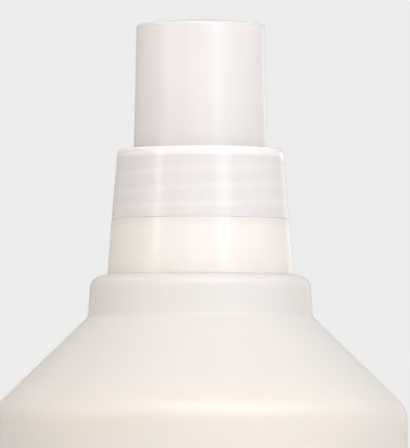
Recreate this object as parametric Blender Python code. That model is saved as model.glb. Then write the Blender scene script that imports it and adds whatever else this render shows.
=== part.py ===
"""A one-litre laundry detergent bottle with a drain-back pour spout and a screw-on dosing cup.

The bottle stands on the ground plane with its axis along +Z and its front towards -Y.
The heights are chained from the base upwards: bottle, pour spout, cap.
The radii of everything at the neck are chained outwards from the root of the spout's thread.
"""

import math

import bmesh
import bpy
from mathutils import Matrix, Vector

# Bottle, blow moulded
BODY_RADIUS = 0.0500
SIDE_HEIGHT = 0.1320        # base to the sharp corner between side wall and shoulder cone
SHOULDER_SLOPE = 44.0       # degrees above horizontal
SHOULDER_FILLET = 0.0055
HEEL_FILLET = 0.0080
STANDING_RING = 0.0060      # width of the flat ring that the bottle stands on
PUNT_DEPTH = 0.0040
BOTTLE_WALL = 0.0010
BEAD_STEP = 0.0039          # how far the bead under the neck stands out from the collar
BEAD_HEIGHT = 0.0100
BEAD_DRAFT = 4.0            # degrees
BEAD_ROOT_FILLET = 0.0012
BEAD_TOP_FILLET = 0.0036
NECK_WALL = 0.0015
NECK_HEIGHT = 0.01175
NECK_BEVEL = 0.0004
SNAP_DEPTH = 0.00055        # how far the neck's snap ring stands out
SNAP_WIDTH = 0.0016         # height of the flat of the snap ring
SNAP_DROP = 0.0060          # neck rim down to the top of the snap ring's flat
SNAP_LEAD = 0.0008          # height of the sloped lead-in above and below the flat

# Detergent
FILL_RISE = 0.0056          # fill line above the corner between side wall and shoulder

# Pour spout, injection moulded
COLLAR_WALL = 0.0012
COLLAR_DRAFT = 4.4          # degrees
COLLAR_SPACE = 0.0005       # neck to the inside of the collar, at its top
COLLAR_TOP_FILLET = 0.0003
HOOK_WIDTH = 0.0010         # height of the ridge that hooks under the snap ring
HOOK_REACH = 0.0003         # how far the ridge reaches in under the snap ring
DECK_THICKNESS = 0.0013
PLUG_LENGTH = 0.0062
PLUG_WALL = 0.0011
GUTTER_DEPTH = 0.0009       # gutter floor below the top of the deck
RING_WALL = 0.00135
SPOUT_WALL = 0.0012
SPOUT_SPACE = 0.0018        # cap's seal to the foot of the spout
SPOUT_DRAFT = 1.3           # degrees
SPOUT_HEIGHT = 0.0311       # deck top to the high point of the lip
LIP_FLARE = 0.0008
LIP_LENGTH = 0.0032
LIP_SLANT = 10.5            # degrees, down from the pouring side
SLOT_WIDTH = 0.0070
SLOT_SINK = 0.0004          # bottom of the drain slot below the gutter's floor

# Thread
THREAD_ROOT = 0.0173        # radius of the spout's threaded ring
THREAD_PITCH = 0.0042
THREAD_DEPTH = 0.00085
THREAD_BASE = 0.0020        # width of a turn at its root
THREAD_CREST = 0.0009       # width of a turn at its crest
THREAD_MARGIN = 0.0010      # plain stretch beyond each end of the thread
THREAD_START = 183.0        # degrees from +X to the lower end of the cap's thread
CAP_THREAD_DEPTH = 0.00055

# Dosing cap, injection moulded
SKIRT_HEIGHT = 0.01675      # rim of the skirt to the top of the ledge
SKIRT_WALL = 0.0010         # at the top of the skirt
SKIRT_DRAFT = 5.1           # degrees
LEDGE_THICKNESS = 0.0014
LEDGE_FILLET = 0.0012
CUP_HEIGHT = 0.0312         # top of the ledge to the crown
CUP_STEP = 0.00045          # the cup stands out past its seal
CUP_WALL = 0.0011
CUP_DRAFT = 1.2             # degrees
CROWN_RISE = 0.0011
CROWN_FILLET = 0.0020
SEAL_LENGTH = 0.0040
SEAL_WALL = 0.0011
RIM_BEVEL = 0.0003

# Clearances
SEAT_GAP = 0.0003           # between pieces that touch
THREAD_GAP = 0.0003         # cap's thread to spout's thread, radially

# Facets
ROUND_STEPS = 60
THREAD_STEPS = 30
ARC_STEP = math.radians(24.0)
DOME_STEPS = 3
FILLET_SHARE = 0.49         # most of a neighbouring side that a fillet may take
RUN_OUT = 4                 # steps over which a thread rises out of its wall
THREAD_NIB = 0.05           # share of its depth that a thread has at its very end
MERGE_DISTANCE = 0.00001
SMOOTH_ANGLE = math.radians(35.0)
CUT_MARGIN = 0.0010

# Radii at the neck, outwards from the thread
ring_inner = THREAD_ROOT - RING_WALL
seal_outer = ring_inner - SEAT_GAP
seal_inner = seal_outer - SEAL_WALL
spout_foot = seal_inner - SPOUT_SPACE
cup_foot = seal_outer + CUP_STEP
thread_outer = THREAD_ROOT + THREAD_DEPTH
cap_thread_inner = thread_outer + THREAD_GAP
skirt_bore = cap_thread_inner + CAP_THREAD_DEPTH
skirt_top = skirt_bore + SKIRT_WALL
skirt_rim = skirt_top + SKIRT_HEIGHT * math.tan(math.radians(SKIRT_DRAFT))
collar_slope = math.tan(math.radians(COLLAR_DRAFT))
collar_top = skirt_rim
collar_foot = collar_top + (DECK_THICKNESS + NECK_HEIGHT) * collar_slope
collar_inner_top = collar_top + DECK_THICKNESS * collar_slope - COLLAR_WALL
neck_outer = collar_inner_top - COLLAR_SPACE
neck_bore = neck_outer - NECK_WALL
plug_outer = neck_bore - SEAT_GAP
plug_inner = plug_outer - PLUG_WALL
bead_top_radius = collar_foot + BEAD_STEP
bead_foot_radius = bead_top_radius + BEAD_HEIGHT * math.tan(math.radians(BEAD_DRAFT))

# Heights, upwards from the base
shoulder_slope = math.tan(math.radians(SHOULDER_SLOPE))
bead_foot_height = SIDE_HEIGHT + (BODY_RADIUS - bead_foot_radius) * shoulder_slope
bead_top_height = bead_foot_height + BEAD_HEIGHT
neck_top_height = bead_top_height + NECK_HEIGHT
spout_seat = neck_top_height + SEAT_GAP
deck_top_height = spout_seat + DECK_THICKNESS
cap_seat = deck_top_height + SEAT_GAP
ledge_underside = SKIRT_HEIGHT - LEDGE_THICKNESS
ring_top = DECK_THICKNESS + ledge_underside


def clear_scene():
    for item in list(bpy.data.objects):
        bpy.data.objects.remove(item, do_unlink=True)


def natural_plastic(name, colour, roughness):
    """A pale unpigmented polymer: the colour is linear RGB."""
    material = bpy.data.materials.new(name)
    material.use_nodes = True
    shader = material.node_tree.nodes["Principled BSDF"]
    shader.inputs["Base Color"].default_value = (*colour, 1.0)
    shader.inputs["Roughness"].default_value = roughness
    shader.inputs["Metallic"].default_value = 0.0
    return material


def add_object(name, mesh, height=0.0):
    item = bpy.data.objects.new(name, mesh)
    item.location = (0.0, 0.0, height)
    bpy.context.collection.objects.link(item)
    return item


def hide_tool(item):
    """A cutter or a shape that is joined on stays out of the model itself."""
    item.hide_render = True
    item.display_type = "WIRE"
    return item


def crossing(point_a, direction_a, point_b, direction_b):
    """Where two lines in the section plane meet."""
    along = (point_b - point_a).cross(direction_b) / direction_a.cross(direction_b)
    return point_a + direction_a * along


def inset(corners, wall):
    """Move an outline inward by one wall, so that the wall is even round every corner.

    A corner is (radius, height, fillet). The outline starts on the axis and its solid side is on
    its left. Fillets shrink on the corners that bulge outwards and grow on the others.
    """
    points = [Vector(corner[:2]) for corner in corners]
    directions = [(b - a).normalized() for a, b in zip(points, points[1:])]
    normals = [Vector((-d.y, d.x)) for d in directions]
    axis = Vector((0.0, 1.0))
    start = crossing(points[0] + normals[0] * wall, directions[0], Vector((0.0, 0.0)), axis)
    moved = [(start.x, start.y, 0.0)]
    for index in range(1, len(points) - 1):
        before = points[index] + normals[index - 1] * wall
        after = points[index] + normals[index] * wall
        corner = crossing(before, directions[index - 1], after, directions[index])
        bulge = directions[index - 1].cross(directions[index])
        fillet = corners[index][2] - math.copysign(wall, bulge)
        moved.append((corner.x, corner.y, max(fillet, 0.0)))
    end = points[-1] + normals[-1] * wall
    moved.append((end.x, end.y, 0.0))
    return moved


def rounded(corners):
    """Turn corners (radius, height, fillet) into points, with each fillet as an arc."""
    points = [Vector(corner[:2]) for corner in corners]
    outline = [points[0]]
    for index in range(1, len(points) - 1):
        before = points[index] - points[index - 1]
        after = points[index + 1] - points[index]
        turn = before.angle_signed(after)
        fillet = corners[index][2]
        if fillet <= 0.0:
            outline.append(points[index])
            continue
        reach = fillet * math.tan(abs(turn) / 2)
        reach = min(reach, before.length * FILLET_SHARE, after.length * FILLET_SHARE)
        radius = reach / math.tan(abs(turn) / 2)
        start = points[index] - before.normalized() * reach
        side = Vector((before.y, -before.x)).normalized() * math.copysign(radius, turn)
        centre = start + side
        steps = max(2, math.ceil(abs(turn) / ARC_STEP))
        for step in range(steps + 1):
            swing = Matrix.Rotation(-turn * step / steps, 2)
            outline.append(centre + swing @ (start - centre))
    outline.append(points[-1])
    return outline


def arc_over_axis(edge_radius, edge_height, rise, steps):
    """Points of a shallow dome from the axis out to its edge, which is left out."""
    sphere = (edge_radius ** 2 + rise ** 2) / (2 * rise)
    reach = math.asin(edge_radius / sphere)
    points = []
    for step in range(steps):
        angle = reach * step / steps
        height = edge_height + rise - sphere * (1 - math.cos(angle))
        points.append((sphere * math.sin(angle), height, 0.0))
    return points


def turned(name, outline, closed, height=0.0):
    """Spin a section about the axis. The section runs down the outer side of the solid."""
    mesh = bpy.data.meshes.new(name)
    edges = [(index, index + 1) for index in range(len(outline) - 1)]
    if closed:
        edges.append((len(outline) - 1, 0))
    mesh.from_pydata([(point.x, 0.0, point.y) for point in outline], edges, [])
    item = add_object(name, mesh, height)
    screw = item.modifiers.new("turned", "SCREW")
    screw.steps = ROUND_STEPS
    screw.render_steps = ROUND_STEPS
    screw.use_merge_vertices = True
    screw.merge_threshold = MERGE_DISTANCE
    screw.use_smooth_shade = True
    return item


def combine(item, other, operation):
    boolean = item.modifiers.new(other.name, "BOOLEAN")
    boolean.operation = operation
    boolean.solver = "EXACT"
    boolean.object = other
    hide_tool(other)


def thread_ridge(name, root, depth, foot, head, height, start_angle):
    """One helical ridge between two heights, in relief on a round wall.

    A positive depth stands outwards from the wall and a negative one inwards. The ridge rises out
    of the wall at each end, as a moulded thread does.
    """
    turns = (head - foot - THREAD_BASE) / THREAD_PITCH
    steps = math.ceil(turns * THREAD_STEPS)
    buried = root - math.copysign(SEAT_GAP, depth)
    shape = bmesh.new()
    previous = None
    for step in range(steps + 1):
        angle = start_angle + 2 * math.pi * step / THREAD_STEPS
        middle = foot + THREAD_BASE / 2 + THREAD_PITCH * step / THREAD_STEPS
        rise = min(1.0, step / RUN_OUT, (steps - step) / RUN_OUT)
        crest = buried + (root + depth - buried) * max(rise, THREAD_NIB)
        half_crest = THREAD_CREST / 2
        half_base = THREAD_BASE / 2
        section = [
            (buried, middle - half_base),
            (crest, middle - half_crest),
            (crest, middle + half_crest),
            (buried, middle + half_base),
        ]
        ring = [
            shape.verts.new((radius * math.cos(angle), radius * math.sin(angle), level))
            for radius, level in section
        ]
        if previous is None:
            shape.faces.new(ring)
        else:
            for side in range(4):
                across = (side + 1) % 4
                shape.faces.new((previous[side], previous[across], ring[across], ring[side]))
        previous = ring
    shape.faces.new(reversed(previous))
    bmesh.ops.recalc_face_normals(shape, faces=shape.faces)
    mesh = bpy.data.meshes.new(name)
    shape.to_mesh(mesh)
    shape.free()
    return add_object(name, mesh, height)


def block(name, size, centre, slant=0.0):
    """A box of the given size; slant turns it about Y, in degrees."""
    shape = bmesh.new()
    bmesh.ops.create_cube(shape, size=1.0)
    bmesh.ops.scale(shape, vec=size, verts=shape.verts)
    mesh = bpy.data.meshes.new(name)
    shape.to_mesh(mesh)
    shape.free()
    item = add_object(name, mesh)
    item.location = centre
    item.rotation_euler = (0.0, math.radians(slant), 0.0)
    return item


def body_corners():
    """Outer outline of the bottle from the middle of its base to the top of the bead."""
    ring_outer = BODY_RADIUS - HEEL_FILLET
    return [
        (0.0, PUNT_DEPTH, 0.0),
        (ring_outer - STANDING_RING, 0.0, 0.0),
        (BODY_RADIUS, 0.0, HEEL_FILLET),
        (BODY_RADIUS, SIDE_HEIGHT, SHOULDER_FILLET),
        (bead_foot_radius, bead_foot_height, BEAD_ROOT_FILLET),
        (bead_top_radius, bead_top_height, BEAD_TOP_FILLET),
        (neck_outer, bead_top_height, 0.0),
    ]


def neck_corners():
    """Outer side of the neck, from its root up past the snap ring to the rim."""
    flat_top = neck_top_height - SNAP_DROP
    flat_foot = flat_top - SNAP_WIDTH
    return [
        (neck_outer, flat_foot - SNAP_LEAD, 0.0),
        (neck_outer + SNAP_DEPTH, flat_foot, 0.0),
        (neck_outer + SNAP_DEPTH, flat_top, 0.0),
        (neck_outer, flat_top + SNAP_LEAD, 0.0),
        (neck_outer, neck_top_height - NECK_BEVEL, 0.0),
        (neck_outer - NECK_BEVEL, neck_top_height, 0.0),
        (neck_bore, neck_top_height, 0.0),
    ]


def make_bottle():
    """The blown shell: an even wall that follows the outside, and a thicker moulded neck."""
    outer = body_corners()
    inner = inset(outer, BOTTLE_WALL)
    inner[-1] = (neck_bore, bead_top_height - BOTTLE_WALL, 0.0)
    inner.append((neck_bore, neck_top_height, 0.0))
    inside = rounded(inner)
    outside = rounded(outer + neck_corners())
    section = inside[:-1] + outside[::-1]
    bottle = turned("bottle", section, closed=False)
    bottle.data.materials.append(natural_plastic("natural_hdpe", (0.80, 0.76, 0.69), 0.38))
    return bottle


def make_detergent():
    """The liquid, a seat gap inside the shell, level at the fill line on the shoulder."""
    centre, ring_edge, heel, side, shoulder = inset(body_corners(), BOTTLE_WALL + SEAT_GAP)[:5]
    fill_height = SIDE_HEIGHT + FILL_RISE
    cone = Vector(shoulder[:2]) - Vector(side[:2])
    edge = Vector(side[:2]) + cone * ((fill_height - side[1]) / cone.y)
    corners = [centre, ring_edge, heel, side, (edge.x, fill_height, 0.0), (0.0, fill_height, 0.0)]
    section = rounded(corners)
    detergent = turned("detergent", section[::-1], closed=False)
    detergent.data.materials.append(natural_plastic("detergent_liquid", (0.87, 0.80, 0.70), 0.25))
    return detergent


def spout_section():
    """Half section of the fitment, from the top of its threaded ring down the outer side."""
    snap_foot = -SEAT_GAP - SNAP_DROP - SNAP_WIDTH - SNAP_LEAD
    hook_top = snap_foot - SEAT_GAP
    hook_foot = hook_top - HOOK_WIDTH
    hook_radius = neck_outer + SNAP_DEPTH - HOOK_REACH
    collar_inner_foot = collar_foot - COLLAR_WALL
    hook_lead = hook_foot - (collar_inner_foot - hook_radius)
    floor_top = DECK_THICKNESS - GUTTER_DEPTH
    floor_underside = floor_top - DECK_THICKNESS
    spout_top = DECK_THICKNESS + SPOUT_HEIGHT + CUT_MARGIN
    lip_foot = DECK_THICKNESS + SPOUT_HEIGHT - LIP_LENGTH
    narrowing = (lip_foot - floor_top) * math.tan(math.radians(SPOUT_DRAFT))
    lip_radius = spout_foot - narrowing
    flare = LIP_FLARE * (spout_top - lip_foot) / LIP_LENGTH
    corners = [
        (THREAD_ROOT - RIM_BEVEL, ring_top, 0.0),
        (THREAD_ROOT, ring_top - RIM_BEVEL, 0.0),
        (THREAD_ROOT, DECK_THICKNESS, 0.0),
        (collar_top, DECK_THICKNESS, COLLAR_TOP_FILLET),
        (collar_foot, -NECK_HEIGHT, 0.0),
        (collar_inner_foot, -NECK_HEIGHT, 0.0),
        (collar_inner_foot - (hook_lead + NECK_HEIGHT) * collar_slope, hook_lead, 0.0),
        (hook_radius, hook_foot, 0.0),
        (hook_radius, hook_top, 0.0),
        (collar_inner_top - hook_top * collar_slope, hook_top, 0.0),
        (collar_inner_top, 0.0, 0.0),
        (plug_outer, 0.0, 0.0),
        (plug_outer, RIM_BEVEL - PLUG_LENGTH, 0.0),
        (plug_outer - RIM_BEVEL, -PLUG_LENGTH, 0.0),
        (plug_inner, -PLUG_LENGTH, 0.0),
        (plug_inner, floor_underside, 0.0),
        (spout_foot - SPOUT_WALL, floor_underside, 0.0),
        (lip_radius - SPOUT_WALL, lip_foot, 0.0),
        (lip_radius - SPOUT_WALL + flare, spout_top, 0.0),
        (lip_radius + flare, spout_top, 0.0),
        (lip_radius, lip_foot, 0.0),
        (spout_foot, floor_top, 0.0),
        (ring_inner, floor_top, 0.0),
        (ring_inner, ring_top, 0.0),
    ]
    return rounded(corners)


def make_pour_spout():
    """The snap-on fitment: collar, plug, threaded ring, gutter and slanted drain-back spout."""
    spout = turned("pour_spout", spout_section(), closed=True, height=spout_seat)
    thread_foot = DECK_THICKNESS + THREAD_MARGIN
    thread_head = ring_top - THREAD_MARGIN
    start_angle = math.radians(THREAD_START) + math.pi
    thread = thread_ridge(
        "spout_thread", THREAD_ROOT, THREAD_DEPTH, thread_foot, thread_head, spout_seat, start_angle)
    combine(spout, thread, "UNION")

    lip_high = deck_top_height + SPOUT_HEIGHT
    lip_reach = spout_foot + LIP_FLARE
    lip_middle = lip_high - lip_reach * math.tan(math.radians(LIP_SLANT))
    cutter_size = 4 * lip_reach
    lean = math.radians(LIP_SLANT)
    cutter_centre = (
        math.sin(lean) * cutter_size / 2,
        0.0,
        lip_middle + math.cos(lean) * cutter_size / 2,
    )
    lip_cutter = block("lip_cutter", (cutter_size,) * 3, cutter_centre, LIP_SLANT)
    combine(spout, lip_cutter, "DIFFERENCE")

    slot_foot = deck_top_height - GUTTER_DEPTH - SLOT_SINK
    slot_top = lip_high + CUT_MARGIN
    slot_end = (spout_foot + ring_inner) / 2
    slot_start = spout_foot / 2
    slot_size = (slot_end - slot_start, SLOT_WIDTH, slot_top - slot_foot)
    slot_centre = ((slot_start + slot_end) / 2, 0.0, (slot_foot + slot_top) / 2)
    slot_cutter = block("slot_cutter", slot_size, slot_centre)
    combine(spout, slot_cutter, "DIFFERENCE")
    spout.data.materials.append(natural_plastic("natural_pp_spout", (0.86, 0.80, 0.74), 0.30))
    return spout


def cap_section():
    """Half section of the cap, from the crown down the outside and back up the inside."""
    draft = math.tan(math.radians(CUP_DRAFT))
    crown_edge = CUP_HEIGHT - CROWN_RISE
    outer_top = cup_foot - crown_edge * draft
    inner_edge = crown_edge - CUP_WALL
    inner_top = cup_foot - CUP_WALL - inner_edge * draft
    inner_foot = cup_foot - CUP_WALL
    ledge = SKIRT_HEIGHT
    dome = arc_over_axis(outer_top, ledge + crown_edge, CROWN_RISE, DOME_STEPS)
    hollow = arc_over_axis(inner_top, ledge + inner_edge, CROWN_RISE, DOME_STEPS)
    corners = dome + [
        (outer_top, ledge + crown_edge, CROWN_FILLET),
        (cup_foot, ledge, 0.0),
        (skirt_top, ledge, LEDGE_FILLET),
        (skirt_rim, RIM_BEVEL, 0.0),
        (skirt_rim - RIM_BEVEL, 0.0, 0.0),
        (skirt_bore + RIM_BEVEL, 0.0, 0.0),
        (skirt_bore, RIM_BEVEL, 0.0),
        (skirt_bore, ledge_underside, 0.0),
        (seal_outer, ledge_underside, 0.0),
        (seal_outer, ledge_underside - SEAL_LENGTH + RIM_BEVEL, 0.0),
        (seal_outer - RIM_BEVEL, ledge_underside - SEAL_LENGTH, 0.0),
        (seal_inner, ledge_underside - SEAL_LENGTH, 0.0),
        (seal_inner, ledge_underside, 0.0),
        (inner_foot, ledge, 0.0),
        (inner_top, ledge + inner_edge, max(CROWN_FILLET - CUP_WALL, 0.0)),
    ] + hollow[::-1]
    return rounded(corners)


def make_dosing_cap():
    """Cup, ledge, skirt and seal in one moulding, with its thread inside the skirt."""
    cap = turned("dosing_cap", cap_section(), closed=False, height=cap_seat)
    thread_foot = THREAD_MARGIN
    thread_head = ledge_underside - THREAD_MARGIN
    thread = thread_ridge(
        "cap_thread", skirt_bore, -CAP_THREAD_DEPTH, thread_foot, thread_head, cap_seat,
        math.radians(THREAD_START))
    combine(cap, thread, "UNION")
    cap.data.materials.append(natural_plastic("natural_pp_cap", (0.84, 0.79, 0.77), 0.26))
    return cap


def shade_round(item):
    item.data.shade_smooth()
    item.data.set_sharp_from_angle(angle=SMOOTH_ANGLE)


clear_scene()
for piece in (make_bottle(), make_detergent(), make_pour_spout(), make_dosing_cap()):
    shade_round(piece)
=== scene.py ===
import math

import bpy
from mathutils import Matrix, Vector


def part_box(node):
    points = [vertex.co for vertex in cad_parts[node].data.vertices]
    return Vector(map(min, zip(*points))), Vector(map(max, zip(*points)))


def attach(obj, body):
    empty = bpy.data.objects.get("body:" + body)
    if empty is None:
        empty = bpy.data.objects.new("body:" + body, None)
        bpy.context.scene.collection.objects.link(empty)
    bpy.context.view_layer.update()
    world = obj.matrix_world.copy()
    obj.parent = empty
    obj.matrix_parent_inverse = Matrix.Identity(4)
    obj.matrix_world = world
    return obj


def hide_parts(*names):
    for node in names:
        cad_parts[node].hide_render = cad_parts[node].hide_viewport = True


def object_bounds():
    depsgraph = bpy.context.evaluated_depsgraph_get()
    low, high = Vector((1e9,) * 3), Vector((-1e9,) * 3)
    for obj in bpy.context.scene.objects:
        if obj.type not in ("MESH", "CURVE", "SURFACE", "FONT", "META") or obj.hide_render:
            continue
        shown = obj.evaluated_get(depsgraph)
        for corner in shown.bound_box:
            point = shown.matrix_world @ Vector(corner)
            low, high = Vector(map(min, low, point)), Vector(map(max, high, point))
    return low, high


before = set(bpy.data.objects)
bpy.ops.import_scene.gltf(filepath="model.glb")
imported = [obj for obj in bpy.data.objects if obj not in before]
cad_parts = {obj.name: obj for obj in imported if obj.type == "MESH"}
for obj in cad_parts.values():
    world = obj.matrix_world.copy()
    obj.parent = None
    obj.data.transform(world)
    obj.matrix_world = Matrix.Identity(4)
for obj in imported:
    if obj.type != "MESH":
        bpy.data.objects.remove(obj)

cad_low, cad_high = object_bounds()


# Studio. A backdrop of pale paper, seen through a long lens that looks slightly up at the neck. The
# light is soft: an even room, a large box overhead in front, a tall one at the right, a narrow one at
# the left, wide fills from the front and both sides, and a low card behind the cup.

def linear(code):
    """sRGB hex to the linear RGBA that Blender works in."""
    values = [int(code[i:i + 2], 16) / 255 for i in (1, 3, 5)]
    return [v / 12.92 if v <= 0.04045 else ((v + 0.055) / 1.055) ** 2.4 for v in values] + [1.0]


def mm(value):
    return value / 1000


def add_node(tree, kind, settings=(), **links):
    """Add a shader node, with its settings and with values or other nodes' outputs on its inputs."""
    node = tree.nodes.new("ShaderNode" + kind)
    for name, value in dict(settings).items():
        setattr(node, name, value)
    for name, value in links.items():
        numbered = name[0] == "i" and name[1:].isdigit()
        socket = node.inputs[int(name[1:]) if numbered else name.replace("_", " ")]
        if isinstance(value, bpy.types.NodeSocket):
            tree.links.new(value, socket)
        else:
            socket.default_value = value
    return node


PAPER = "#ECECEC"
ROOM = "#FFFDFA"
ROOM_LIGHT = 0.85
ROOM_MIRRORED = 0.60         # dimmer where gloss mirrors it, so that the shaded sides stay shaded
scene = bpy.context.scene
scene.view_settings.view_transform = "Standard"

world = bpy.data.worlds.new("studio_paper")
world.use_nodes = True
scene.world = world
sky = world.node_tree
sky.nodes.clear()
ray = add_node(sky, "LightPath")
seen = add_node(sky, "Math", {"operation": "MAXIMUM"},
                i0=ray.outputs["Is Camera Ray"], i1=ray.outputs["Is Transmission Ray"])
room = add_node(sky, "Background", Color=linear(ROOM), Strength=ROOM_LIGHT)
mirrored = add_node(sky, "Background", Color=linear(ROOM), Strength=ROOM_MIRRORED)
backdrop = add_node(sky, "Background", Color=linear(PAPER), Strength=1.0)
around = add_node(sky, "MixShader", Fac=ray.outputs["Is Glossy Ray"],
                  i1=room.outputs["Background"], i2=mirrored.outputs["Background"])
mixed = add_node(sky, "MixShader", Fac=seen.outputs["Value"],
                 i1=around.outputs["Shader"], i2=backdrop.outputs["Background"])
add_node(sky, "OutputWorld", Surface=mixed.outputs["Shader"])

PICTURE_WIDTH = 410          # in pixels, like the next three
PICTURE_HEIGHT = 448
AXIS_PIXEL = 200.5
CROWN_PIXEL = 20
PIXEL = mm(0.2415)           # what a pixel of the photograph covers on the bottle's axis
LENS_DISTANCE = 1.60
LENS_HEIGHT = 0.115
camera_data = bpy.data.cameras.new("camera")
camera = bpy.data.objects.new("camera", camera_data)
scene.collection.objects.link(camera)
side_step = (PICTURE_WIDTH / 2 - AXIS_PIXEL) * PIXEL
aim_height = cad_high.z - (PICTURE_HEIGHT / 2 - CROWN_PIXEL) * PIXEL
camera.location = (side_step, -LENS_DISTANCE, LENS_HEIGHT)
aim = Vector((side_step, 0.0, aim_height)) - camera.location
camera.rotation_euler = aim.to_track_quat("-Z", "Y").to_euler()
camera_data.sensor_width = 36.0
camera_data.lens = camera_data.sensor_width * aim.length / (PICTURE_HEIGHT * PIXEL)
camera_data.clip_start = 0.05
camera_data.clip_end = 20.0
scene.camera = camera

NECK_CENTRE = Vector((0.0, 0.0, 0.16))
STRIP = 0.3                  # a box narrower than this isn't seen through the plastics


def soft_box(name, azimuth, elevation, distance, width, height, watts, colour="#FFFFFF"):
    """A soft box aimed at the neck. Azimuth 0 is at the camera, and 90 at the bottle's right."""
    data = bpy.data.lights.new(name, "AREA")
    data.shape = "RECTANGLE"
    data.size = width
    data.size_y = height
    data.energy = watts
    data.color = linear(colour)[:3]
    lamp = bpy.data.objects.new(name, data)
    turn, tilt = math.radians(azimuth), math.radians(elevation)
    way = Vector((math.sin(turn) * math.cos(tilt), -math.cos(turn) * math.cos(tilt), math.sin(tilt)))
    lamp.location = NECK_CENTRE + way * distance
    lamp.rotation_euler = (-way).to_track_quat("-Z", "Y").to_euler()
    lamp.visible_camera = False
    lamp.visible_transmission = min(width, height) > STRIP
    scene.collection.objects.link(lamp)


soft_box("tall_box_right", 31, 20, 1.1, 0.32, 0.42, 1.7, "#F1F5FF")
soft_box("narrow_box_left", -58, 20, 1.1, 0.09, 0.42, 0.82)
soft_box("overhead_box", 8, 46, 1.0, 0.7, 0.42, 5.6, "#FAFAFF")
soft_box("big_fill_right", 60, 34, 1.6, 1.2, 1.2, 5.3, "#FBFCFF")
soft_box("front_fill", 0, 25, 1.8, 1.2, 1.0, 1.3, "#FAF9FF")
soft_box("left_fill", -60, 25, 1.8, 1.2, 1.2, 2.35, "#FFEAB8")
soft_box("rim_card_right", 152, 4, 1.2, 0.5, 0.2, 0.22)


# Floor. One sheet of pale uncoated paper lies under the bottle and keeps its shadow. Away from the
# bottle it turns into the backdrop, as a sheet that sweeps up behind a product does.

FLOOR_SIZE = 6.0
FLOOR_GAP = mm(0.05)
half = FLOOR_SIZE / 2
floor_corners = [(-half, -half, 0), (half, -half, 0), (half, half, 0), (-half, half, 0)]
floor_mesh = bpy.data.meshes.new("floor")
floor_mesh.from_pydata(floor_corners, [], [(0, 1, 2, 3)])
floor = bpy.data.objects.new("floor", floor_mesh)
scene.collection.objects.link(floor)
floor.location.z = cad_low.z - FLOOR_GAP


def new_material(name):
    """A material with its node tree and its shader."""
    material = bpy.data.materials.new(name)
    material.use_nodes = True
    return material, material.node_tree, material.node_tree.nodes["Principled BSDF"]


# Uncoated paper: dead matt, with a faint tooth from its fibres. It is drawn a shade greyer to the
# camera than it is to the light, so that the lit sheet doesn't clip to white.
FIBRE = mm(1.11)             # about the length of a paper fibre
SWEEP_START = 0.25           # from here to the next distance the sheet turns into the backdrop
SWEEP_END = 1.0
paper, tree, shader = new_material("uncoated_paper")
shader.inputs["Roughness"].default_value = 0.9
ray = add_node(tree, "LightPath")
paper_tone = add_node(tree, "Mix", {"data_type": "RGBA"}, Factor=ray.outputs["Is Camera Ray"],
                      i6=linear("#E6E6E5"), i7=linear("#CFCFCE"))
tree.links.new(paper_tone.outputs[2], shader.inputs["Base Color"])
place = add_node(tree, "TexCoord")
fibre = add_node(tree, "TexNoise", Vector=place.outputs["Object"], Scale=1 / FIBRE, Detail=3.0)
bump = add_node(tree, "Bump", Height=fibre.outputs["Fac"], Strength=0.1, Distance=mm(0.05))
tree.links.new(bump.outputs["Normal"], shader.inputs["Normal"])
reach = add_node(tree, "VectorMath", {"operation": "LENGTH"}, Vector=place.outputs["Object"])
sweep = add_node(tree, "MapRange", {"interpolation_type": "SMOOTHSTEP"},
                 i0=reach.outputs["Value"], i1=SWEEP_START, i2=SWEEP_END, i3=0.0, i4=1.0)
seen_sweep = add_node(tree, "Math", {"operation": "MULTIPLY"},
                      i0=sweep.outputs["Result"], i1=ray.outputs["Is Camera Ray"])
distant = add_node(tree, "Emission", Color=linear(PAPER), Strength=1.0)
sheet = add_node(tree, "MixShader", Fac=seen_sweep.outputs["Value"],
                 i1=shader.outputs["BSDF"], i2=distant.outputs["Emission"])
tree.links.new(sheet.outputs["Shader"], tree.nodes["Material Output"].inputs["Surface"])
floor_mesh.materials.append(paper)


# Bottle. One extrusion blow moulding of natural, unpigmented high-density polyethylene, about a
# millimetre thick. The two halves of the mould leave a fine ridge up both sides and a weld across
# the punt, and the blow pin forms the neck's rim. The snap ring holds the pour spout for good.

bottle_low, bottle_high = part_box("bottle")
body_radius = bottle_high.x
neck_top = bottle_high.z
SEAM_RISE = mm(0.10)
SEAM_HALF_WIDTH = math.radians(0.35)
BODY_SEGMENTS = 180
BODY_STEP = mm(4.0)
BOTTLE_WALL = mm(1.0)
PUNT_DEPTH = mm(4.0)
PUNT_RADIUS = mm(36.0)
HEEL_ROUND = mm(8.0)
SHOULDER_ANGLE = math.radians(44.0)
SHOULDER_ROUND = mm(7.0)
BEAD_HEIGHT = mm(10.0)
BEAD_FOOT_RADIUS = mm(27.1)
BEAD_TOP_RADIUS = mm(26.4)
BEAD_ROUND = mm(3.6)
BEAD_ROOT = mm(1.2)
NECK_HEIGHT = mm(11.75)
NECK_BORE = mm(18.4)
NECK_WALL = mm(1.5)
RIM_ROUND = mm(0.4)
RIM_CHAMFER = mm(0.3)
SNAP_DROP = mm(6.0)
SNAP_RISE = mm(0.55)
SNAP_LEAD = mm(0.8)
SNAP_LAND = mm(1.6)
SNAP_FOOT = mm(2.4)
WELD_HEIGHT = mm(0.35)
WELD_HALF_WIDTH = mm(0.6)
WELD_END = mm(30.0)
WELD_FADE = mm(3.0)
UNEVENNESS = mm(0.05)
WAVE_UP = 55.0               # the unevenness turns this many radians per metre of height
WAVE_DOWN = 90.0
CORNER_SHARE = 0.4           # an inside corner lies this share of the wall below the outside one
CONE_CORNER_SHARE = 0.36     # the same at the shoulder, as a share of the wall along the cone
ON_AXIS = mm(0.001)          # a point nearer to the axis than this lies on it
CREASE = math.radians(40)    # an edge that turns more than this is drawn sharp


def sharp(radius, height):
    return (radius, height, 0.0)


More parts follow.
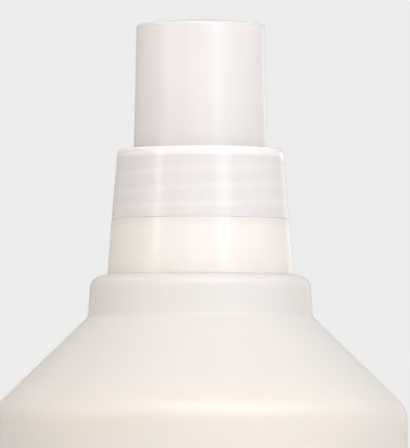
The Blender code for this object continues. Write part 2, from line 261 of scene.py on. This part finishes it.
def arc_outline(corners, arc_step=math.radians(7.5)):
    """Outline points from corners (radius, height, fillet), with every fillet as an arc."""
    points = [Vector(c[:2]) for c in corners]
    outline = [points[0]]
    for i in range(1, len(points) - 1):
        into, out = points[i] - points[i - 1], points[i + 1] - points[i]
        turn, fillet = into.angle_signed(out, 0.0), corners[i][2]
        if fillet <= 0.0 or abs(turn) < 0.01:
            outline.append(points[i])
            continue
        reach = min(fillet * math.tan(abs(turn) / 2), into.length * 0.49, out.length * 0.49)
        radius = reach / math.tan(abs(turn) / 2)
        start = points[i] - into.normalized() * reach
        centre = start + Vector((into.y, -into.x)).normalized() * math.copysign(radius, turn)
        arm = start - centre
        steps = max(2, math.ceil(abs(turn) / arc_step))
        for step in range(steps + 1):
            swing = -turn * step / steps
            outline.append(centre + Vector((
                arm.x * math.cos(swing) - arm.y * math.sin(swing),
                arm.x * math.sin(swing) + arm.y * math.cos(swing))))
    return outline + [points[-1]]


def subdivided(outline, longest):
    """The same outline with every stretch cut into pieces no longer than the given length."""
    fine = [outline[0]]
    for a, b in zip(outline, outline[1:]):
        parts = max(1, math.ceil((b - a).length / longest))
        fine += [a.lerp(b, k / parts) for k in range(1, parts + 1)]
    return fine


def spun(name, outline, angles, shape=None, closed=False):
    """A closed skin spun about the axis. shape(angle, radius, height, index) may move each point."""
    count = len(angles)
    verts, faces, rings = [], [], []
    for index, point in enumerate(outline):
        if point.x < ON_AXIS:
            rings.append([len(verts)] * count)
            verts.append((0.0, 0.0, point.y))
            continue
        rings.append(range(len(verts), len(verts) + count))
        for angle in angles:
            radius, height = point
            if shape:
                radius, height = shape(angle, radius, height, index)
            verts.append((radius * math.cos(angle), radius * math.sin(angle), height))
    pairs = list(zip(rings, rings[1:])) + ([(rings[-1], rings[0])] if closed else [])
    for upper, lower in pairs:
        for i in range(count):
            j = (i + 1) % count
            corners = [upper[i], upper[j], lower[j], lower[i]]
            kept = [c for k, c in enumerate(corners) if c != corners[k - 1]]
            if len(kept) > 2:
                faces.append(kept)
    mesh = bpy.data.meshes.new(name)
    mesh.from_pydata(verts, [], [face[::-1] for face in faces])
    mesh.validate()
    mesh.shade_smooth()
    mesh.set_sharp_from_angle(angle=CREASE)
    piece = bpy.data.objects.new(name, mesh)
    scene.collection.objects.link(piece)
    return piece


def even_angles(segments):
    return [2 * math.pi * k / segments for k in range(segments)]


def smooth_step(value):
    """Zero below nothing, one above one, and a soft rise between them."""
    held = min(1.0, max(0.0, value))
    return held * held * (3 - 2 * held)


def seam_angles(segments):
    """Even steps round the circle, with extra ones over the mould's two parting lines."""
    angles = even_angles(segments)
    for line in (0.0, math.pi):
        for share in (-2.4, -1.0, -0.5, 0.5, 1.0, 2.4):
            angles.append((line + share * SEAM_HALF_WIDTH) % (2 * math.pi))
    return sorted(set(round(a, 6) for a in angles))


def parting_line(angle):
    """One on a parting line, falling to nothing at its edges."""
    nearest = abs(math.remainder(angle, math.pi))
    return max(0.0, 1.0 - nearest / SEAM_HALF_WIDTH)


SHOULDER_SLOPE = math.tan(SHOULDER_ANGLE)
skin = body_radius - SEAM_RISE
bead_top = neck_top - NECK_HEIGHT
bead_foot = bead_top - BEAD_HEIGHT
side_top = bead_foot - (body_radius - BEAD_FOOT_RADIUS) * SHOULDER_SLOPE
neck_skin = NECK_BORE + NECK_WALL
snap_top = neck_top - SNAP_DROP
bottle_outside = subdivided(arc_outline([
    sharp(0.0, PUNT_DEPTH),
    (PUNT_RADIUS, 0.0, mm(1.0)),
    (skin, 0.0, HEEL_ROUND),
    (skin, side_top, SHOULDER_ROUND),
    (BEAD_FOOT_RADIUS, bead_foot, BEAD_ROOT),
    (BEAD_TOP_RADIUS, bead_top, BEAD_ROUND),
    (neck_skin, bead_top, mm(0.3)),
    sharp(neck_skin, snap_top - SNAP_FOOT),
    (neck_skin + SNAP_RISE, snap_top - SNAP_LAND, mm(0.2)),
    (neck_skin + SNAP_RISE, snap_top, mm(0.2)),
    sharp(neck_skin, snap_top + SNAP_LEAD),
    (neck_skin, neck_top, RIM_ROUND),
    sharp(NECK_BORE + RIM_CHAMFER, neck_top),
]), BODY_STEP)
wall_lean = BOTTLE_WALL / math.sin(SHOULDER_ANGLE)
bottle_inside = subdivided(arc_outline([
    sharp(NECK_BORE + RIM_CHAMFER, neck_top),
    sharp(NECK_BORE, neck_top - RIM_CHAMFER),
    (NECK_BORE, bead_top - BOTTLE_WALL, mm(0.8)),
    (BEAD_TOP_RADIUS - BOTTLE_WALL, bead_top - BOTTLE_WALL, BEAD_ROUND - BOTTLE_WALL),
    (BEAD_FOOT_RADIUS - BOTTLE_WALL, bead_foot - BOTTLE_WALL * CORNER_SHARE, BEAD_ROOT + BOTTLE_WALL),
    (skin - BOTTLE_WALL, side_top - wall_lean * CONE_CORNER_SHARE, SHOULDER_ROUND - BOTTLE_WALL),
    (skin - BOTTLE_WALL, BOTTLE_WALL, HEEL_ROUND - BOTTLE_WALL),
    (PUNT_RADIUS, BOTTLE_WALL, mm(1.5)),
    sharp(0.0, PUNT_DEPTH + BOTTLE_WALL),
]), BODY_STEP)
bottle_outline = (bottle_outside + bottle_inside[1:])[::-1]
inside_count = len(bottle_outline) - len(bottle_outside)


def blown_form(angle, radius, height, index):
    """Raises the parting line, the weld across the punt, and the slow unevenness of a blown wall."""
    if index < inside_count:
        return radius, height
    if height < PUNT_DEPTH + mm(0.1) and radius < PUNT_RADIUS:
        across = abs(radius * math.sin(angle)) / WELD_HALF_WIDTH
        end = min(1.0, max(0.0, (WELD_END - radius) / WELD_FADE))
        return radius, height - WELD_HEIGHT * max(0.0, 1.0 - across) * end
    if height > bead_foot:
        return radius + SEAM_RISE * parting_line(angle), height
    wave = math.sin(2 * angle + height * WAVE_UP) * math.sin(3 * angle - height * WAVE_DOWN)
    return radius - UNEVENNESS * (1 + wave) / 2 + SEAM_RISE * parting_line(angle), height


bottle = spun("bottle_shell", bottle_outline, seam_angles(BODY_SEGMENTS), blown_form)
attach(bottle, "bottle_body")
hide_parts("bottle")

NOISE_LOW = 0.3              # nearly all of a noise's values lie from here to the next
NOISE_HIGH = 0.7


def drifting_tone(tree, place, size, dark, light):
    """A colour that drifts between two near tones, over patches of the given size."""
    cloud = add_node(tree, "TexNoise", Vector=place.outputs["Object"], Scale=1 / size, Detail=2.0)
    tone = add_node(tree, "Mix", {"data_type": "RGBA"}, Factor=cloud.outputs["Fac"],
                    i6=linear(dark), i7=linear(light))
    return tone.outputs[2]


def moulded_finish(tree, shader, place, size, detail, smoothest, roughest, strength, relief):
    """The gloss and the fine relief that the mould's surface leaves, both from one noise."""
    grain = add_node(tree, "TexNoise", Vector=place.outputs["Object"], Scale=1 / size, Detail=detail)
    gloss = add_node(tree, "MapRange", i0=grain.outputs["Fac"], i1=NOISE_LOW, i2=NOISE_HIGH,
                     i3=smoothest, i4=roughest)
    tree.links.new(gloss.outputs["Result"], shader.inputs["Roughness"])
    bump = add_node(tree, "Bump", Height=grain.outputs["Fac"], Strength=strength, Distance=relief)
    tree.links.new(bump.outputs["Normal"], shader.inputs["Normal"])


# Natural high-density polyethylene from a sand-blasted blow mould: milky and satin. Much of the light
# goes through, so the liquid's edge shows as a soft step, and the highlights spread out wide. The
# blasted grain is finer than a pixel, so it is drawn coarser.
HDPE_CLOUD = mm(35.7)        # how far apart the thicker and the thinner places of the wall lie
BLASTED_GRAIN = mm(2.38)
hdpe, tree, shader = new_material("natural_hdpe_blow_moulded")
shader.inputs["IOR"].default_value = 1.54
shader.inputs["Transmission Weight"].default_value = 0.6
place = add_node(tree, "TexCoord")
tone = drifting_tone(tree, place, HDPE_CLOUD, "#F8F4F0", "#FAF7F5")
tree.links.new(tone, shader.inputs["Base Color"])
moulded_finish(tree, shader, place, BLASTED_GRAIN, detail=3.0,
               smoothest=0.38, roughest=0.46, strength=0.15, relief=mm(0.05))
bottle.data.materials.append(hdpe)


# Detergent. One litre of opaque, cream-coloured liquid, filled up to a line on the shoulder. It wets
# the wall, so its surface turns up a little at the edge.

detergent_low, detergent_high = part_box("detergent")
fill_height = detergent_high.z
SEAT_GAP = mm(0.3)
MENISCUS = mm(0.8)
MENISCUS_WIDTH = mm(3.0)
MENISCUS_ROUND = mm(6.0)
LIQUID_STEP = mm(5.0)
inset_wall = BOTTLE_WALL + SEAT_GAP
liquid_side = skin - inset_wall
cone_gap = inset_wall / math.sin(SHOULDER_ANGLE)
fill_radius = body_radius - (fill_height - side_top) / SHOULDER_SLOPE - cone_gap
liquid_outline = subdivided(arc_outline([
    sharp(0.0, fill_height - MENISCUS),
    (fill_radius - MENISCUS_WIDTH, fill_height - MENISCUS, MENISCUS_ROUND),
    sharp(fill_radius, fill_height),
    (liquid_side, side_top - inset_wall * CORNER_SHARE, SHOULDER_ROUND - inset_wall),
    (liquid_side, inset_wall, HEEL_ROUND - inset_wall),
    (PUNT_RADIUS, inset_wall, mm(1.5)),
    sharp(0.0, PUNT_DEPTH + inset_wall),
]), LIQUID_STEP)
detergent = spun("detergent_fill", liquid_outline, even_angles(BODY_SEGMENTS))
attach(detergent, "bottle_body")
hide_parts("detergent")

# Opacified liquid soap: light enters it for some millimetres and comes back warm, red further than
# blue, so the filled part of the bottle glows creamier than the empty shoulder above the line.
SOAP_SWIRL = mm(25)
soap, tree, shader = new_material("cream_detergent_liquid")
shader.inputs["IOR"].default_value = 1.37
shader.inputs["Roughness"].default_value = 0.3
shader.inputs["Subsurface Weight"].default_value = 1.0
shader.inputs["Subsurface Radius"].default_value = (1.0, 0.62, 0.36)
shader.inputs["Subsurface Scale"].default_value = mm(5.0)
place = add_node(tree, "TexCoord")
tone = drifting_tone(tree, place, SOAP_SWIRL, "#FFDB9A", "#FFE2AB")
tree.links.new(tone, shader.inputs["Base Color"])
detergent.data.materials.append(soap)


# Pour spout. One injection moulding of natural polypropylene that is pushed over the neck for good:
# a tapered collar with a hook inside, a plug seal in the neck, a ring with a coarse thread for the
# cap, and a slanted, lipped spout in a gutter that drains back through the slot behind it.

spout_low, spout_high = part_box("pour_spout")
FINE_SEGMENTS = 240
JOINT = mm(0.02)             # seated moulded faces, with hardly a line between them
COLLAR_DRAFT = math.tan(math.radians(4.4))
COLLAR_WALL = mm(1.2)
HOOK_DROP = mm(9.0)
HOOK_LAND = mm(1.0)
HOOK_LEAD = mm(1.9)
HOOK_CLEAR = mm(0.25)
HOOK_SHELF = mm(0.65)
DECK = mm(1.3)
PLUG_LENGTH = mm(6.2)
PLUG_WALL = mm(1.1)
GUTTER_DROP = mm(0.9)
RING_HEIGHT = mm(15.35)
RING_INNER = mm(15.95)
THREAD_ROOT = mm(17.3)
THREAD_DEPTH = mm(0.85)
THREAD_PITCH = mm(4.2)
THREAD_BASE = mm(2.0)
THREAD_CREST = mm(0.9)
THREAD_MARGIN = mm(1.0)
THREAD_STEP = mm(0.16)
THREAD_RUN_OUT = math.radians(40)
SPOUT_THREAD_START = math.radians(3)
SPOUT_FOOT = mm(12.75)
SPOUT_WALL = mm(1.2)
LIP_RADIUS = mm(12.1)
LIP_FLARE = mm(0.8)
LIP_DEPTH = mm(3.2)
LIP_SLANT = math.tan(math.radians(10.5))
SLOT_WIDTH = mm(7.0)
SLOT_RADIUS = mm(12.4)
SLOT_HALF = math.asin(SLOT_WIDTH / 2 / SLOT_RADIUS)
SLOT_EDGE = math.radians(1.5)
ON_WALL = mm(0.01)           # a point nearer to a wall than this lies on it

collar_foot = spout_high.x
collar_end = bead_top + JOINT
deck_under = neck_top + SEAT_GAP
deck_top = deck_under + DECK
collar_top = collar_foot - (deck_top - spout_low.z) * COLLAR_DRAFT
collar_in_foot = collar_foot - COLLAR_WALL
collar_in_top = collar_top + DECK * COLLAR_DRAFT - COLLAR_WALL
hook_top = deck_under - HOOK_DROP
plug = NECK_BORE - SEAT_GAP
gutter = deck_top - GUTTER_DROP
ring_top = deck_top + RING_HEIGHT
lip_high = spout_high.z


def thread_relief(angle, height, foot, head, start, depth):
    """Height of a right-hand thread's relief at a point of its wall, rising at both ends."""
    first = foot + THREAD_BASE / 2
    turns = (head - foot - THREAD_BASE) / THREAD_PITCH
    lead = ((angle - start) % (2 * math.pi)) / (2 * math.pi)
    flank = (THREAD_BASE - THREAD_CREST) / 2
    best = 0.0
    for turn in range(-1, int(turns) + 2):
        along = lead + turn
        if 0.0 <= along <= turns:
            off = abs(height - first - along * THREAD_PITCH)
            rise = smooth_step((THREAD_BASE / 2 - off) / flank)
            end = min(along, turns - along) * 2 * math.pi / THREAD_RUN_OUT
            best = max(best, rise * min(1.0, end) * depth)
    return best


def thread_wall(radius, top, bottom):
    """Fine steps down a threaded wall."""
    return subdivided([Vector((radius, top)), Vector((radius, bottom))], THREAD_STEP)


outer_half = (
    arc_outline([
        sharp(RING_INNER + mm(0.4), ring_top),
        (THREAD_ROOT, ring_top, mm(0.3)),
        sharp(THREAD_ROOT, ring_top - mm(0.6)),
    ])[:-1]
    + thread_wall(THREAD_ROOT, ring_top - mm(0.3), deck_top + mm(0.3))[2:-1]
    + arc_outline([
        sharp(THREAD_ROOT, deck_top + mm(0.3)),
        (THREAD_ROOT, deck_top, mm(0.2)),
        (collar_top, deck_top, mm(0.08)),
        (collar_foot, collar_end, mm(0.03)),
        (collar_in_foot, collar_end, mm(0.2)),
        sharp(collar_in_foot - mm(0.05), hook_top - HOOK_LEAD),
        (neck_skin + HOOK_CLEAR, hook_top - HOOK_LAND, mm(0.2)),
        (neck_skin + HOOK_CLEAR, hook_top, mm(0.1)),
        (collar_in_top + HOOK_SHELF, hook_top, mm(0.1)),
        (collar_in_top, deck_under, mm(0.1)),
        (plug, deck_under, mm(0.1)),
        (plug, deck_under - PLUG_LENGTH, mm(0.3)),
        (plug - PLUG_WALL, deck_under - PLUG_LENGTH, mm(0.3)),
        (plug - PLUG_WALL, gutter - DECK, mm(0.4)),
        (SPOUT_FOOT - SPOUT_WALL, gutter - DECK, mm(0.3)),
        sharp(SPOUT_FOOT - SPOUT_WALL, gutter),
    ])
)
tube = subdivided(arc_outline([
    sharp(SPOUT_FOOT - SPOUT_WALL, gutter + mm(0.1)),
    (LIP_RADIUS - SPOUT_WALL, lip_high - LIP_DEPTH, mm(3.0)),
    (LIP_RADIUS - SPOUT_WALL + mm(0.75), lip_high, mm(0.5)),
    (LIP_RADIUS + LIP_FLARE, lip_high, mm(0.5)),
    (LIP_RADIUS, lip_high - LIP_DEPTH, mm(3.0)),
    sharp(SPOUT_FOOT, gutter + mm(0.1)),
]), mm(2.0))
gutter_half = arc_outline([
    sharp(SPOUT_FOOT + mm(0.2), gutter),
    (RING_INNER, gutter, mm(0.5)),
    (RING_INNER, ring_top, mm(0.3)),
    sharp(RING_INNER + mm(0.4), ring_top),
])[:-1]
tube_start = len(outer_half)
tube_end = tube_start + len(tube)


def spout_form(angle, radius, height, index):
    """Raises the thread on the ring, slants the lip and opens the drain slot at the back."""
    if abs(radius - THREAD_ROOT) < ON_WALL and height > deck_top:
        relief = thread_relief(angle, height, deck_top + THREAD_MARGIN, ring_top - THREAD_MARGIN,
                               SPOUT_THREAD_START, THREAD_DEPTH)
        return radius + relief, height
    if not tube_start <= index < tube_end:
        return radius, height
    back = (1 + math.cos(angle)) / 2
    tall = lip_high - gutter - 2 * LIP_RADIUS * LIP_SLANT * back
    share = tall / (lip_high - gutter)
    flare = max(0.0, radius - LIP_RADIUS) if height > lip_high - LIP_DEPTH else 0.0
    edge = smooth_step((abs(math.remainder(angle, 2 * math.pi)) - SLOT_HALF) / SLOT_EDGE)
    across = (index - tube_start) / (tube_end - 1 - tube_start)
    floor_radius = SPOUT_FOOT - SPOUT_WALL * (1 - across)
    radius = floor_radius + (radius - flare * back - floor_radius) * edge
    return radius, gutter + (height - gutter) * share * edge


slot_angles = [(side * (SLOT_HALF + math.radians(d))) % (2 * math.pi)
               for side in (-1, 1) for d in (0.0, 0.35, 0.7, 1.1, 1.5)]
spout_angles = sorted(set(round(a, 6) for a in even_angles(FINE_SEGMENTS) + slot_angles))
spout_outline = outer_half + tube + gutter_half
spout = spun("pour_spout_fitment", spout_outline, spout_angles, spout_form, closed=True)
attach(spout, "bottle_body")
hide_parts("pour_spout")

# How thick the plastic is at each point: thin on the ring between the turns, and solid elsewhere.
# The thin roots are painted darker: partly the thinner plastic, partly painted shade in the grooves.
thickness_and_painted_light = spout.data.attributes.new("thickness_and_painted_light", "FLOAT", "POINT")
for vertex, value in zip(spout.data.vertices, thickness_and_painted_light.data):
    radius = math.hypot(vertex.co.x, vertex.co.y)
    on_ring = radius > THREAD_ROOT - ON_WALL and vertex.co.z > deck_top + mm(0.1)
    value.value = (radius - THREAD_ROOT) / THREAD_DEPTH if on_ring else 1.0

# Natural polypropylene from a polished steel mould: creamy white where it backs the bottle's neck,
# clean edges, and tight bright highlights. The roots between the thread's turns are painted greyer:
# partly because the thin wall lets more through, partly as painted shade in the grooves. The traces
# of polishing are too fine to show, so they are drawn coarser.
PP_CLOUD = mm(16.7)
POLISHING_TRACE = mm(2)
spout_pp, tree, shader = new_material("natural_pp_moulded_spout")
shader.inputs["IOR"].default_value = 1.49
shader.inputs["Transmission Weight"].default_value = 0.4
place = add_node(tree, "TexCoord")
tone = drifting_tone(tree, place, PP_CLOUD, "#F4EDE7", "#F7F1EC")
depth = add_node(tree, "Attribute", {"attribute_name": "thickness_and_painted_light"})
# darker at the thread roots: the thinner plastic, and painted shade between the turns
tone_with_painted_light = add_node(tree, "Mix", {"data_type": "RGBA"}, Factor=depth.outputs["Fac"],
                 i6=linear("#D8D0C8"), i7=tone)
tree.links.new(tone_with_painted_light.outputs[2], shader.inputs["Base Color"])
moulded_finish(tree, shader, place, POLISHING_TRACE, detail=1.0,
               smoothest=0.20, roughest=0.26, strength=0.1, relief=mm(0.004))
spout.data.materials.append(spout_pp)


# Dosing cap. One injection moulding of natural polypropylene: a measuring cup upside down over the
# spout, a ledge, a skirt with the matching thread inside, and a short seal ring under the ledge. It
# screws down until its rim meets the deck. The mould's gate leaves a small sunk mark in the crown.

cap_low, cap_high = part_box("dosing_cap")
SKIRT_HEIGHT = mm(16.75)
SKIRT_TOP = mm(20.0)
SKIRT_BORE = mm(19.0)
LEDGE_THICK = mm(1.4)
LEDGE_ROUND = mm(1.6)
CUP_FOOT = mm(16.1)
CUP_TOP = mm(15.48)
CUP_WALL = mm(1.1)
CROWN_RISE = mm(1.1)
CROWN_ROUND = mm(2.8)
SEAL_OUTER = mm(15.65)
SEAL_WALL = mm(1.1)
SEAL_LENGTH = mm(4.0)
CAP_THREAD_DEPTH = mm(0.55)
CAP_THREAD_START = math.radians(183)
SKIRT_STEP = mm(0.3)
SINK = mm(0.018)             # how far the outside sinks over the thread as the plastic cools
GATE_RADIUS = mm(2.2)
GATE_DEPTH = mm(0.30)
GATE_STUB = mm(0.45)
GATE_STUB_DEPTH = mm(0.12)

skirt_rim = cap_high.x
rim_height = cap_low.z
rim_edge = deck_top + JOINT
crown = cap_high.z
crown_edge = crown - CROWN_RISE
inner_edge = crown_edge - CUP_WALL
ledge = rim_height + SKIRT_HEIGHT
under_ledge = ledge - LEDGE_THICK
skirt_lean = (skirt_rim - SKIRT_TOP) / (ledge - rim_height)


def dome(edge_radius, edge_height, rise, steps):
    """Points of a shallow dome, from the axis out to just before its edge."""
    sphere = (edge_radius ** 2 + rise ** 2) / (2 * rise)
    reach = math.asin(edge_radius / sphere)
    points = []
    for k in range(steps):
        swing = reach * k / steps
        points.append(sharp(sphere * math.sin(swing), edge_height + rise - sphere * (1 - math.cos(swing))))
    return points


gate_mark = [
    sharp(0.0, crown - GATE_STUB_DEPTH),
    (GATE_STUB, crown - GATE_STUB_DEPTH, mm(0.1)),
    (GATE_STUB + mm(0.15), crown - GATE_DEPTH, mm(0.1)),
    (GATE_RADIUS - mm(0.3), crown - GATE_DEPTH, mm(0.2)),
    (GATE_RADIUS, crown - mm(0.02), mm(0.2)),
]
whole_dome = dome(CUP_TOP, crown_edge, CROWN_RISE, 10)
outer_dome = [point for point in whole_dome if point[0] > GATE_RADIUS]
inner_dome = dome(CUP_TOP - CUP_WALL, inner_edge, CROWN_RISE, 8)
skirt_start = Vector((SKIRT_TOP + mm(2.0) * skirt_lean, ledge - mm(2.0)))
skirt_end = Vector((skirt_rim - mm(0.5) * skirt_lean, rim_edge + mm(0.5)))
cap_outline = (
    subdivided(arc_outline(gate_mark + outer_dome + [
        (CUP_TOP, crown_edge, CROWN_ROUND),
        (CUP_FOOT, ledge, mm(0.25)),
        (SKIRT_TOP, ledge, LEDGE_ROUND),
        sharp(*skirt_start),
    ])[:-1], mm(2.0))
    + subdivided([skirt_start, skirt_end], SKIRT_STEP)
    + arc_outline([
        sharp(*skirt_end),
        (skirt_rim, rim_edge, mm(0.08)),
        (SKIRT_BORE, rim_edge, mm(0.2)),
        sharp(SKIRT_BORE, rim_height + mm(0.6)),
    ])[1:-1]
    + thread_wall(SKIRT_BORE, rim_height + mm(0.3), under_ledge - mm(0.4))[2:]
    + subdivided(arc_outline([
        sharp(SKIRT_BORE, under_ledge - mm(0.35)),
        (SKIRT_BORE, under_ledge, mm(0.3)),
        (SEAL_OUTER, under_ledge, mm(0.2)),
        (SEAL_OUTER, under_ledge - SEAL_LENGTH, mm(0.3)),
        (SEAL_OUTER - SEAL_WALL, under_ledge - SEAL_LENGTH, mm(0.3)),
        (SEAL_OUTER - SEAL_WALL, under_ledge, mm(2.0)),
        (CUP_FOOT - CUP_WALL, ledge, mm(2.0)),
        (CUP_TOP - CUP_WALL, inner_edge, CROWN_ROUND - CUP_WALL),
    ] + inner_dome[::-1]), mm(2.5))
)


def cap_thread(angle, height):
    """One on the crest of the thread inside the skirt, and nothing on the plain wall."""
    return thread_relief(angle, height, rim_height + THREAD_MARGIN, under_ledge - THREAD_MARGIN,
                         CAP_THREAD_START, 1.0)


def cap_form(angle, radius, height, index):
    """Raises the thread inside the skirt, and sinks the outside a little where the wall is thick."""
    outer = SKIRT_TOP + (ledge - height) * skirt_lean
    if abs(radius - outer) < 2 * ON_WALL and rim_height + mm(0.3) < height < ledge - mm(1.2):
        return radius - cap_thread(angle, height) * SINK, height
    if abs(radius - SKIRT_BORE) < ON_WALL and height < under_ledge:
        return radius - cap_thread(angle, height) * CAP_THREAD_DEPTH, height
    return radius, height


cap = spun("dosing_cap_moulding", cap_outline, even_angles(FINE_SEGMENTS), cap_form)
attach(cap, "cap")
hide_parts("dosing_cap")

# How thick the plastic is at each point of the skirt: solid at the ledge, and part of that on the
# thread. Both are painted paler as bands: partly the thicker plastic, partly a painted highlight along
# the ledge and painted glow of the thread through the wall.
THREAD_SHARE = 0.14
LEDGE_REACH = mm(0.9)        # the ledge's plastic begins this far below its underside
LEDGE_FADE = mm(0.6)
thickness_and_painted_light = cap.data.attributes.new("thickness_and_painted_light", "FLOAT", "POINT")
for vertex, value in zip(cap.data.vertices, thickness_and_painted_light.data):
    x, y, z = vertex.co
    value.value = 0.0
    if math.hypot(x, y) > SKIRT_BORE - mm(0.6) and z < ledge + mm(0.05):
        ledge_solid_and_highlight = min(1.0, max(0.0, (z - under_ledge + LEDGE_REACH) / LEDGE_FADE))
        value.value = max(ledge_solid_and_highlight, THREAD_SHARE * cap_thread(math.atan2(y, x), z))

# Natural polypropylene from a polished steel mould, thinner and clearer than the spout's: a cool
# milky grey with crisp highlights. Wherever the wall is thick it is painted paler: partly the thicker
# plastic, partly a painted highlight along the ledge and painted glow over the thread.
cap_pp, tree, shader = new_material("natural_pp_moulded_cap")
shader.inputs["IOR"].default_value = 1.49
place = add_node(tree, "TexCoord")
tone = drifting_tone(tree, place, PP_CLOUD, "#F3EEED", "#F5F1F0")
depth = add_node(tree, "Attribute", {"attribute_name": "thickness_and_painted_light"})
# paler where thick: the thicker plastic, with a painted highlight at the ledge and painted glow on the
# thread
tone_with_painted_light = add_node(tree, "Mix", {"data_type": "RGBA"}, Factor=depth.outputs["Fac"],
                 i6=tone, i7=linear("#FFFAF9"))
tree.links.new(tone_with_painted_light.outputs[2], shader.inputs["Base Color"])
haze = add_node(tree, "MapRange", i0=depth.outputs["Fac"], i1=0.0, i2=1.0, i3=0.5, i4=0.42)
tree.links.new(haze.outputs["Result"], shader.inputs["Transmission Weight"])
moulded_finish(tree, shader, place, POLISHING_TRACE, detail=1.0,
               smoothest=0.19, roughest=0.25, strength=0.1, relief=mm(0.004))
cap.data.materials.append(cap_pp)
